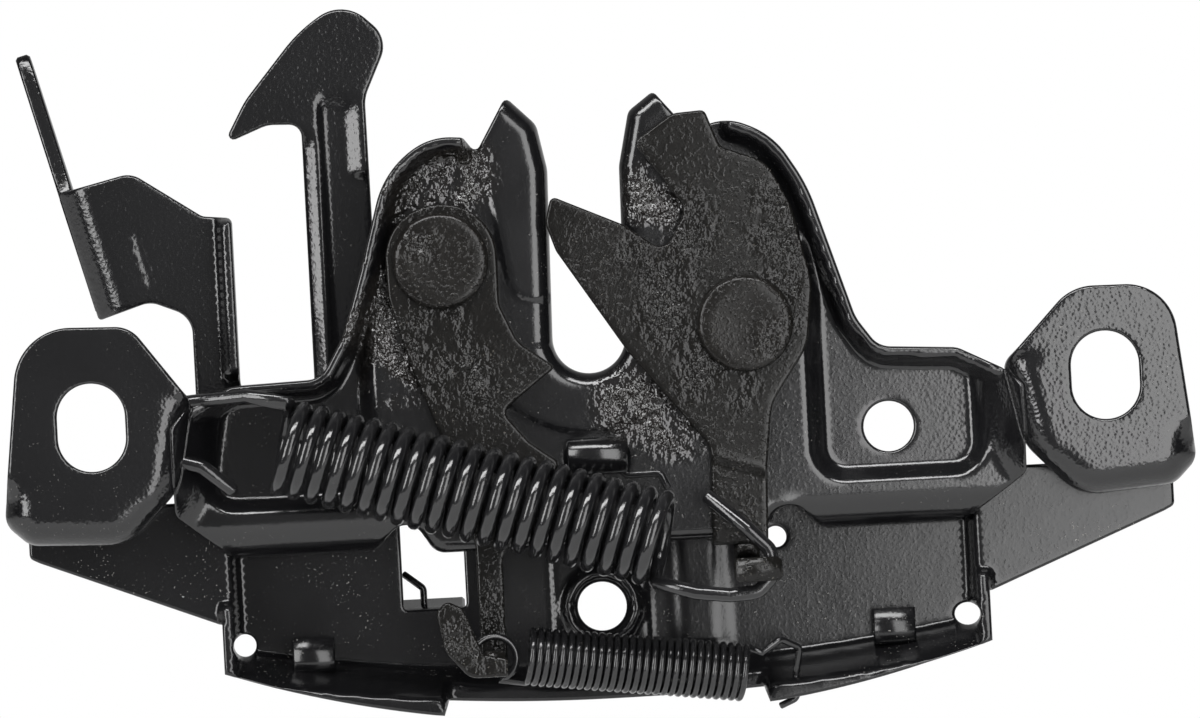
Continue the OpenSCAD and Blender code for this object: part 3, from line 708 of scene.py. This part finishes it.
def ear_wall(points):
    """1 on the lower and inner sides of an ear, where the sheet rolls back; 0 on its free sides."""
    x, z = np.abs(points[:, 0] - EAR_MIDDLE), points[:, 1]
    low = below(19.0, 25.0, z - 0.1 * (x - 80))
    inner = below(69.0, 73.5, x) * below(34.0, 38.5, z)
    return np.maximum(low, inner)


def front_face(points, gap):
    x, z = points[:, 0], points[:, 1]
    plate_gap = distance(points, PLATE)
    level = plate_levels(points, 0.0)
    lip = np.clip((RIM_WIDTH - plate_gap) / RIM_CURVE, 0, 1) ** RIM_POWER
    level = level + (RIM - level) * lip * in_rim(points)
    level = level + fall(distance(points, SLOT_EDGE), SLOT_ROLL)
    in_lobe = below(28.0, 31.0, np.abs(x)) * below(13.0, 16.0, z)
    level = level + in_lobe * fall(plate_gap, LOBE_ROLL)
    ear = ear_gap(points)
    on_ear = EAR + np.minimum(fall(np.maximum(ear, 0), EAR_ROLL) * ear_wall(points), EAR_ROLL)
    slope = np.sqrt(np.clip(smooth(0.0, EAR_SLOPE, -ear), 0, 1))
    off_ear = EAR + EAR_ROLL + (level - EAR - EAR_ROLL) * slope
    beside_ear = np.where(np.abs(x) > 55, np.minimum(level, off_ear), level)
    return np.where(ear >= 0, on_ear, beside_ear) + fall(gap, 0.5)


def front_back(points, gap):
    x, z = points[:, 0], points[:, 1]
    reach = np.abs(x)
    plate_gap = distance(points, PLATE)
    level = plate_levels(points, FRONT_SHEET) + FRONT_SHEET
    in_slot = below(1.8, 2.4, distance(points, SLOT_EDGE))
    in_lobe = below(29.0, 30.0, reach) * below(12.0, 12.6, z) * below(1.8, 2.4, plate_gap)
    level = level + SLOT_WALL * np.maximum(in_slot, in_lobe)
    behind_rim = in_rim(points) * below(1.8, 2.2, plate_gap)
    level = np.maximum(level, level + (PANEL + FRONT_SHEET - level) * behind_rim)
    foot = on_skirt(x) * below(58.0, 58.6, reach) * below(12.2, 12.7, z)
    level = level + (FLOOR - level) * foot
    ear = ear_gap(points)
    wall = ear_wall(points) * below(1.8, 2.6, ear)
    on_ear = EAR + FRONT_SHEET + wall * (PANEL - EAR)
    return np.where(ear >= 0, on_ear, level) - fall(gap, 0.3)


FRONT_HOLES = EAR_SLOTS + [LOCATING_HOLE, ANCHOR_HOLE]
plate = relief([PLATE, RIGHT_EAR, LEFT_EAR], FRONT_HOLES, front_face, front_back, PLATE_GRID)
tab = strip([(0.5, TOWER + 1.0, 26.1), (0.5, -18.2, 26.1), (0.5, -18.2, 21.4)], 1.6, 4.9, FRONT_SHEET, 0.4)
mesh_piece("front_plate_skin", joined(plate, tab), "base", FRONT_PAINT, "front_plate")


# Rear plate

ARC, ARC_MIDDLE = 300.0, 290.0
FLOOR_HALF, FLANGE_STEP, STEP_GAP = 60.5, 25.5, 0.4
FLANGE_REACH, LOW_FLANGE_REACH = 7.0, 4.66
TRIM_ARC, TRIM_BOTTOM = 183.0, -17.8


def flange_edge(reach, x_from, x_to, steps=24):
    """Points of the flange's edge, cut to a closer arc near its ends."""
    out = []
    for x in np.linspace(x_from, x_to, steps):
        trim = TRIM_BOTTOM + TRIM_ARC - math.sqrt(TRIM_ARC ** 2 - x ** 2)
        out.append((x, max(ARC_MIDDLE - math.sqrt((ARC + reach) ** 2 - x ** 2), trim), 0))
    return out


WING_EDGE = [(FLOOR_HALF, 0.4, 0), (61, 0.4, 0.2), (89, 11.6, 1.5), (90.6, 12.4, 1), (90.6, 20, 2)]
TOP_EDGE = [(58.7, 20, 0), (58.7, 16.4, 0.5), (-22, 16.4, 0.5), (-22, 32, 1),
            (-FLOOR_HALF, 32, 1), (-FLOOR_HALF, 20, 0)]
LOW_EDGE = flange_edge(FLANGE_REACH, -FLOOR_HALF, -FLANGE_STEP - STEP_GAP)
LOW_EDGE += flange_edge(LOW_FLANGE_REACH, -FLANGE_STEP + STEP_GAP, FLANGE_STEP - STEP_GAP)
LOW_EDGE += flange_edge(FLANGE_REACH, FLANGE_STEP + STEP_GAP, FLOOR_HALF)
REAR_EDGE = rounded(LOW_EDGE + WING_EDGE + TOP_EDGE + mirrored(WING_EDGE))
REAR_HOLES = [box(-31.6, 1, -21.6, 15, 0.6), circle(0, 0, 3.9), circle(28.2, 10.1, 1.7, 24)]
REAR_HOLES += [circle(side * 57.2, -3.3, 1.8, 24) for side in (1, -1)]


def rear_front(points, gap):
    across, z = points[:, 0], points[:, 1]
    x = np.abs(across)
    # Flange along the bottom, lower in its middle part
    radius = np.hypot(across, z - ARC_MIDDLE)
    tall = smooth(FLANGE_STEP - 0.5, FLANGE_STEP + 0.5, x)
    rise = np.clip((radius - (ARC - 0.8)) / (3.1 + 2.3 * tall), 0, 1)
    rise = rise * (0.35 + 0.65 * smooth(0, 0.5, rise))
    depth = FLOOR + (FLANGE - FLOOR) * (0.48 + 0.52 * tall) * rise
    # Side walls, lower where the wings join them
    wall = smooth(FLOOR_HALF - 2.9, FLOOR_HALF - 1.7, x)
    low_part = below(3.0, 3.8, z)
    top = FLANGE * low_part + WING * (1 - low_part)
    depth = np.minimum(depth, FLOOR + (top - FLOOR) * wall)
    outer = smooth(FLOOR_HALF - 0.1, FLOOR_HALF + 0.5, x) * (z > 0)
    depth = depth * (1 - outer) + WING * outer
    # Collar of the centre hole, and two low ridges up the floor
    from_hole = np.hypot(across, z)
    collar = smooth(4.2, 5.0, from_hole) - smooth(5.6, 6.8, from_hole)
    ridges = 0.6 * (smooth(-8.2, -7.4, across) - smooth(7.0, 7.8, across))
    ridges = ridges + 0.7 * (smooth(10.5, 13.5, across) - smooth(17.5, 21.0, across))
    return depth - 1.4 * collar - ridges * smooth(-9.0, -6.0, z) + fall(gap, 0.45)


def rear_back(points, gap):
    x, z = np.abs(points[:, 0]), points[:, 1]
    radius = np.hypot(x, z - ARC_MIDDLE)
    tall = smooth(FLANGE_STEP - 0.5, FLANGE_STEP + 0.5, x)
    rise = np.clip((radius - ARC - 0.6) / (4.0 + 2.3 * tall), 0, 1)
    depth = (FLANGE + 1.2) * (0.5 + 0.5 * tall) * rise
    outer = smooth(FLOOR_HALF - 0.4, FLOOR_HALF, x) * (z > 0.2)
    depth = depth * (1 - outer) + (WING + REAR_SHEET) * outer
    return depth - fall(gap, 0.3)


def stretched(point):
    """A point of the rear plate, whose right end sits a little wider and lower than its left."""
    x, y, z = point
    return x + 1.2 * float(smooth(50, 60, x)), y, z - 0.9 * float(smooth(0, 55, x))


rear_points, rear_faces = relief([REAR_EDGE], REAR_HOLES, rear_front, rear_back, PLATE_GRID)
lances = []
for x in (-46.3, 46.3):
    lances.append(strip([(x, -1.0, -7.5), (x, -6.9, -7.5), (x, -6.9, -2.6)], 1.4, 3.4, REAR_SHEET, 0.35))
rear = joined(([stretched(p) for p in rear_points], rear_faces), *lances)
mesh_piece("rear_plate_skin", rear, "base", REAR_PAINT, "rear_plate")


# Claw and pawl

LEVER_GRID = 0.7
CLAW = rounded([
    (18, 9, 0.5), (26.9, 9, 0.5), (27.4, 21.5, 4), (28.6, 31, 8), (34.8, 40, 8), (36, 50, 10),
    (33.4, 62, 10), (29.8, 69.4, 5), (22.5, 72.2, 2), (20.3, 78.2, 1), (15.2, 77.9, 3), (8.7, 73.6, 1),
    (13, 67.8, 4), (16.6, 62.5, 3), (12.8, 56, 2), (6.6, 60.6, 2), (-4.8, 65.8, 0.9), (-5.9, 61.5, 2.5),
    (-4.4, 57, 3), (6.2, 40.4, 8), (18.6, 24.6, 4)])
PAWL = rounded([
    (-19.6, -8.4, 0.5), (-15.4, -8.4, 0.5), (-15.4, 9, 5), (-5.4, 23.4, 1), (-10.4, 27.2, 4),
    (-14.2, 32, 1.4), (-5.4, 38.6, 0.6), (-11.2, 43, 5), (-13.8, 49, 4), (-13.8, 65.4, 8.6),
    (-31.8, 65.4, 8.6), (-31.4, 51, 4), (-28.4, 40, 15), (-23.6, 27, 8), (-19.6, 11, 6)])
HOOK = rounded([
    (-15.4, -9.9, 0.5), (-15.4, -7, 0.5), (-19.2, -6.2, 1), (-22, 1.2, 1.2), (-24.6, 2.6, 1.2),
    (-26.4, 0.8, 1.4), (-25.2, -5.6, 4), (-21.5, -9.9, 3)], 0.3)
FOLD_RISE, FOLD_SLOPE = 29.6, 0.333
POST_X, FOOT_X, FOOT_Z = 23.4, -17.5, -7.0
HEAD_MIDDLE = (25.0, 5.1)
HOOK_FRONT, HOOK_BACK = -27.0, -24.8


def lever_front(points, gap):
    return LEVER + fall(gap, 0.45)


def lever_back(points, gap):
    return LEVER_BACK - fall(gap, 0.25)


def claw_front(points, gap):
    """Front of the claw, with a fold across its arm: a thin ridge, and the strip under it further back."""
    under = FOLD_RISE - FOLD_SLOPE * points[:, 0] - points[:, 1]
    ridge = np.exp(-(under / 0.5) ** 2)
    return lever_front(points, gap) - 0.3 * ridge + 0.6 * smooth(0.0, 1.2, under)


def hook_front(points, gap):
    return HOOK_FRONT + fall(gap, 0.5)


def hook_back(points, gap):
    return HOOK_BACK - fall(gap, 0.4)


post = strip([(POST_X, -16.0, 9.6), (POST_X, -16.6, 5.4), (POST_X, -31.6, 5.4)], 0.9, 2.0, 2.8, 0.5)
HEAD_PROFILE = [(-31.4, 3.5), (-31.8, 3.8), (-32.6, 3.8), (-33.0, 3.5)]
head = ribbon([(HEAD_MIDDLE[0], y, HEAD_MIDDLE[1]) for y, half in HEAD_PROFILE], (1, 0, 0),
              [(-half, half) for y, half in HEAD_PROFILE], 3.8, 0.6)
claw = joined(relief([CLAW], [], claw_front, lever_back, LEVER_GRID), post, head)
mesh_piece("claw_body", claw, "claw", CLAW_GREASE, "claw")

foot = strip([(FOOT_X, -16.0, -5.8), (FOOT_X, -17.2, FOOT_Z), (FOOT_X, -26.2, FOOT_Z)], 0.8, 1.7, 2.4, 0.4)
hook = relief([HOOK], [], hook_front, hook_back, 0.5)
pawl = joined(relief([PAWL], [], lever_front, lever_back, LEVER_GRID), foot, hook)
mesh_piece("pawl_body", pawl, "pawl", PAWL_GREASE, "pawl")


# Safety lever

SAFETY_EDGE = rounded([
    (-38, -6.4, 6), (-21.8, -6.4, 2), (-21.8, 1, 0.5), (-34.6, 1, 2.5), (-36, 15, 5), (-33.2, 25, 6),
    (-33.6, 83, 6), (-29.3, 92.2, 4.5), (-36.2, 98.8, 6), (-43.6, 94.2, 25), (-52.8, 83.4, 15),
    (-56.6, 76.6, 0.8), (-49.4, 79.4, 5), (-44, 79.2, 2), (-44, 35, 4), (-55.8, 35, 4), (-55.8, 64.9, 1),
    (-60.5, 65.4, 2), (-71.5, 72.9, 4), (-83.2, 70.2, 0.6), (-77.9, 49.6, 0.6), (-69.5, 52.2, 4),
    (-63, 49.5, 4), (-63, 24, 5), (-71, 12, 3), (-70.4, 3.3, 2), (-65.6, 3.3, 2), (-61, 12, 5), (-52, 9, 6)])
PULL_LOW, PULL_HIGH = np.array([-78.0, 49.7]), np.array([-83.4, 70.0])
PULL_WAY = unit(PULL_HIGH - PULL_LOW)
PULL_INWARD = np.array([PULL_WAY[1], -PULL_WAY[0]])
PULL_ROLL, PULL_BACK = 5.5, 22.2
ARM_PRESS, FLANGE_RISE = 1.1, 7.0
GROOVE, GROOVE_DEPTH = np.array([(-71.1, 62.4), (-69.1, 55.0)]), 0.4
LEDGE_X = -27.1


def pull_gap(points):
    """Distance from the outer face of the finger pull, for the part of the lever beside it."""
    return np.where(points[:, 1] > 45, np.maximum((points - PULL_LOW) @ PULL_INWARD, 0), 99.0)


def arm_press(points):
    """Depth of the channel pressed along the hook arm, whose left edge leans back."""
    x, z = points[:, 0], points[:, 1]
    on_arm = smooth(30.0, 36.0, z) * below(80.0, 85.0, z) * (x > -50)
    lean = np.clip((-41.5 - x) / 2.5, 0, 1) * below(75.0, 79.0, z)
    channel = smooth(-41.4, -40.4, x) * (1 - smooth(69.8, 71.4, z) * smooth(-37.6, -34.0, x))
    return on_arm * ARM_PRESS * (lean + channel)


def safety_front(points, gap):
    x, z = points[:, 0], points[:, 1]
    flange = smooth(-58.4, -57.6, x) * (x < -50) * smooth(38.5, 40.5, z) * below(64.2, 65.2, z)
    groove = GROOVE_DEPTH * below(0.1, 0.4, distance(points, GROOVE))
    rolled = pull_gap(points)
    edge = fall(gap, 0.5) * smooth(0.5, 1.5, rolled)
    return SAFETY + arm_press(points) - FLANGE_RISE * flange ** 1.5 + groove + edge + fall(rolled, PULL_ROLL)


def safety_rear(points, gap):
    rolled = pull_gap(points)
    inner = fall(np.maximum(rolled - SAFETY_SHEET, 0), PULL_ROLL - SAFETY_SHEET)
    end = 0.05 * (rolled < SAFETY_SHEET)
    return SAFETY + SAFETY_SHEET + inner + end - fall(gap, 0.35) * smooth(0.5, 1.5, rolled)


pull_middle = PULL_LOW + PULL_INWARD * SAFETY_SHEET / 2
pull_path, pull_widths = [], []
for y in np.linspace(SAFETY + PULL_ROLL - 0.3, PULL_BACK, 30):
    reach = float(smooth(7.0, 14.0, y))
    round_end = float(fall(PULL_BACK - y, 4.0)) * 0.8
    pull_path.append((pull_middle[0], y, pull_middle[1]))
    pull_widths.append((0.5 + 0.12 * (y - SAFETY) + round_end, 20.5 + 23.5 * reach - round_end))
pull = ribbon(pull_path, (PULL_WAY[0], 0, PULL_WAY[1]), pull_widths, SAFETY_SHEET, 0.4)
LEDGE_LINE = [(LEDGE_X, 1.5, -1.6), (LEDGE_X, 1.6, -0.15), (LEDGE_X, 10.4, 1.3)]
ledge = strip(LEDGE_LINE, 0.6, 5.2, SAFETY_SHEET, 0.4)
safety = joined(relief([SAFETY_EDGE], [], safety_front, safety_rear, PLATE_GRID), pull, ledge)
mesh_piece("safety_lever_body", safety, "safety_lever", SAFETY_PAINT, "safety_lever")


# Rivets, as (radius, y) from front to back

HEAD_FRONT = LEVER - 0.1 - 1.6
HEAD_STEPS = [(0.05, 0.12), (2.5, 0.1), (5.0, 0.03), (6.4, 0.0), (7.0, 0.1), (7.4, 0.35), (7.62, 0.75),
              (7.7, 1.2), (7.65, 1.58), (5.0, 1.62)]
SHANK_END = TOWER + FRONT_SHEET
LEVER_RIVET = [(radius, HEAD_FRONT + y) for radius, y in HEAD_STEPS]
LEVER_RIVET += [(4.95, SHANK_END - 0.05), (0.05, SHANK_END - 0.02)]
SAFETY_RIVET = [
    (0.05, -3.3), (4.0, -3.36), (5.6, -3.38), (6.2, -3.2), (6.45, -2.7), (6.45, -1.85), (4.0, -1.8),
    (4.0, 2.8), (6.45, 2.85), (6.45, 3.7), (6.2, 4.2), (5.6, 4.38), (0.05, 4.38)]
RIVETS = [("claw_rivet", CLAW_PIVOT, LEVER_RIVET), ("pawl_rivet", PAWL_PIVOT, LEVER_RIVET),
          ("safety_rivet", SAFETY_PIVOT, SAFETY_RIVET)]
for rivet, pivot, profile in RIVETS:
    mesh_piece(rivet + "_body", turned(pivot, profile), "base", RIVET_GREASE, rivet)


# Springs; each stays where it is drawn and is tied to no lever

def spring(name, node, path, thickness, material):
    piece = mesh_piece(name, wire(path, thickness), None, material, node)
    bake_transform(piece)


MAIN_WIRE_SIZE, THIN_WIRE_SIZE = 2.3, 1.1
NECK_Y, EAR_HOOK_Y, FLOOR_HOOK_Y, ANCHOR_Y = -30.05, -19.5, -11.4, -16
main_path = bent([(-57.6, -19.1, 21.8), (-62.4, EAR_HOOK_Y, 25.8), (-70, EAR_HOOK_Y, 28),
                  (-70, EAR_HOOK_Y, 35.6), (-62, EAR_HOOK_Y, 36.2), (-54.5, -22.5, 36.6)], 2.2)
main_path += coil((-50, -26.2, 28.6), (10.6, -28.8, 10.4), 6.8, 22.5, 0)
main_path += bent([(15, NECK_Y, 1.9), (20.4, NECK_Y, 1.2), (24.8, NECK_Y, 1.5), (27.3, NECK_Y, 4),
                   (27.1, NECK_Y, 8), (23.8, NECK_Y, 11.4), (17.6, NECK_Y + 2, 17)], 2.2)
spring("main_spring_wire", "main_spring", main_path, MAIN_WIRE_SIZE, MAIN_WIRE)

LOOP_RADIUS, LOOP_Y, LOOP_PITCH = 3.5, -21.6, 0.008
pawl_path = []
for angle in range(-200, 81, 10):
    turn = math.radians(angle)
    pawl_path.append((FOOT_X + LOOP_RADIUS * math.cos(turn), LOOP_Y + LOOP_PITCH * angle,
                      FOOT_Z - LOOP_RADIUS * math.sin(turn)))
pawl_path += coil((-12.2, -20, FOOT_Z), (22, -16.4, -11.4), 4.15, 28.5, 180)
pawl_path += bent([(25, -17, -8.4), (28, -16.4, -6.4), (31, -13.4, -8), (30.2, FLOOR_HOOK_Y, -12.4),
                   (30.2, FLOOR_HOOK_Y, -16), (27.6, FLOOR_HOOK_Y, -17.1)], 1.1)
spring("pawl_spring_wire", "pawl_spring", pawl_path, THIN_WIRE_SIZE, THIN_WIRE)

safety_path = bent([(-31.4, 5.8, 6.6), (-28.4, 5.8, 4.2), (-28.4, 5.9, -3.4), (-24, 6.2, -4.2),
                    (-20.6, 6.3, -1)], 1)
safety_path += coil((-18, 6.4, -2.4), (-3, 6.4, 7.4), 2.75, 14.5, 0)
safety_path += bent([(-0.4, 6.2, 10), (3, 4, 19.6), (4, -8, 23.3), (4.2, ANCHOR_Y, 23.3),
                     (4.6, ANCHOR_Y, 20.9), (10.4, -16.6, 21), (11.4, -16.2, 18.6)], 1)
spring("safety_spring_wire", "safety_spring", safety_path, THIN_WIRE_SIZE, THIN_WIRE)


# Studio

def white_to_camera(tree, surface, white, output):
    """Plain white where the camera looks straight at it, and the given surface for all other light."""
    rays = tree.nodes.new("ShaderNodeLightPath")
    choice = tree.nodes.new("ShaderNodeMixShader")
    tree.links.new(rays.outputs["Is Camera Ray"], choice.inputs["Fac"])
    tree.links.new(surface, choice.inputs[1])
    tree.links.new(white, choice.inputs[2])
    tree.links.new(choice.outputs["Shader"], tree.nodes[output].inputs["Surface"])


def soft_light(name, place, target, size, power):
    lamp = bpy.data.lights.new(name, "AREA")
    lamp.shape = "RECTANGLE"
    lamp.size, lamp.size_y = size
    lamp.energy = power
    holder = bpy.data.objects.new(name, lamp)
    bpy.context.scene.collection.objects.link(holder)
    holder.location = place
    holder.rotation_euler = (Vector(target) - Vector(place)).to_track_quat("-Z", "Y").to_euler()


FLOOR_HEIGHT, FLOOR_MIDDLE_Y, FLOOR_SPAN = -0.075, 1.3, 1.5
floor_paint, floor_tree, floor_shader = new_material("studio_floor")
floor_place = floor_tree.nodes.new("ShaderNodeTexCoord").outputs["Object"]
floor_tone = mix(floor_tree, noise(floor_tree, floor_place, 3, 2), grey(0.86), grey(0.9))
floor_tree.links.new(floor_tone, floor_shader.inputs["Base Color"])
floor_shader.inputs["Roughness"].default_value = 0.8
floor_white = floor_tree.nodes.new("ShaderNodeEmission")
floor_white.inputs["Color"].default_value = (*grey(1.0), 1.0)
white_to_camera(floor_tree, floor_shader.outputs["BSDF"], floor_white.outputs["Emission"], "Material Output")
floor_mesh = bpy.data.meshes.new("floor")
floor_corners = [(-1, -1), (1, -1), (1, 1), (-1, 1)]
floor_mesh.from_pydata([(x * FLOOR_SPAN, y * FLOOR_SPAN, 0) for x, y in floor_corners], [], [(0, 1, 2, 3)])
floor_mesh.materials.append(floor_paint)
floor = bpy.data.objects.new("floor", floor_mesh)
bpy.context.scene.collection.objects.link(floor)
floor.location = (0, FLOOR_MIDDLE_Y, FLOOR_HEIGHT)

# World: bright behind the latch, most to the right and below, and dark in front of it
world = bpy.data.worlds.new("studio")
bpy.context.scene.world = world
world.use_nodes = True
sky = world.node_tree
background = sky.nodes["Background"]
direction = sky.nodes.new("ShaderNodeSeparateXYZ")
sky.links.new(sky.nodes.new("ShaderNodeTexCoord").outputs["Generated"], direction.inputs["Vector"])
behind = span(sky, direction.outputs["Y"], -0.1, 0.35, 0.0, 0.85)
low_right = maths(sky, "SUBTRACT", direction.outputs["X"], direction.outputs["Z"])
glow = times(sky, behind, span(sky, low_right, -0.4, 0.7, 0.25, 1.0))
ahead = span(sky, direction.outputs["Y"], -0.92, -0.7, 0.28, 0.02)
sky.links.new(maths(sky, "ADD", glow, ahead), background.inputs["Color"])
background.inputs["Strength"].default_value = 1.0
sky_white = sky.nodes.new("ShaderNodeBackground")
sky_white.inputs["Color"].default_value = (*grey(1.0), 1.0)
sky_white.inputs["Strength"].default_value = 1.0
white_to_camera(sky, background.outputs["Background"], sky_white.outputs["Background"], "World Output")

MIDDLE = (0.0, -0.01, 0.04)
soft_light("right_light", (0.2, -0.5, 0.05), (0.2, 0.0, 0.05), (0.29, 0.5), 2.5)
soft_light("top_light", (-0.1, -0.5, 0.75), MIDDLE, (1.0, 0.25), 12)
soft_light("left_light", (-0.75, -0.75, 0.25), MIDDLE, (0.4, 0.8), 9)

# Camera: square to the front from slightly above, rolled so that the latch leans as in the picture
ROLL, RISE, AWAY, LENS = 3.0, 0.5, 4.0, 755.0
AIM = Vector((0.0017, -0.015, 0.0395))
camera_data = bpy.data.cameras.new("camera")
camera_data.lens = LENS
camera_data.sensor_width = 36.0
camera_data.clip_start = 0.01
camera = bpy.data.objects.new("camera", camera_data)
bpy.context.scene.collection.objects.link(camera)
lift = math.radians(RISE)
camera.location = AIM + AWAY * Vector((0.0, -math.cos(lift), math.sin(lift)))
facing = (AIM - camera.location).to_track_quat("-Z", "Y")
camera.rotation_mode = "QUATERNION"
camera.rotation_quaternion = facing @ Quaternion((0, 0, 1), math.radians(-ROLL))
bpy.context.scene.camera = camera
bpy.context.scene.view_settings.view_transform = "Standard"
